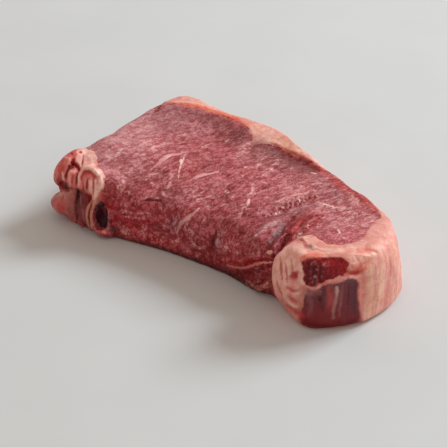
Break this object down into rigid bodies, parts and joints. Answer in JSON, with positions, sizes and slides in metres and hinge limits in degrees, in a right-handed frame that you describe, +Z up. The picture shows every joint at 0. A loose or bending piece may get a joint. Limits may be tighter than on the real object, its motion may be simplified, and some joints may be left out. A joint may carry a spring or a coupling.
{
  "type": "raw strip steak",
  "caption": "Thick raw boneless strip steak lying flat, with a fat cap along its back edge and a fat-wrapped tail.",
  "frame": {"origin": "middle of the footprint, on the surface that the steak lies on", "axes": "+X from the broad end to the fat-wrapped tail, +Y towards the side with the fat cap, +Z up from the lower cut face"},
  "size_m": [0.1798, 0.1072, 0.0374],
  "materials": {
    "raw_beef": "moist raw beef, lean red with pale fat and marbling"
  },
  "bodies": {
    "root": {"steak": "raw_beef"}
  },
  "joints": []
}
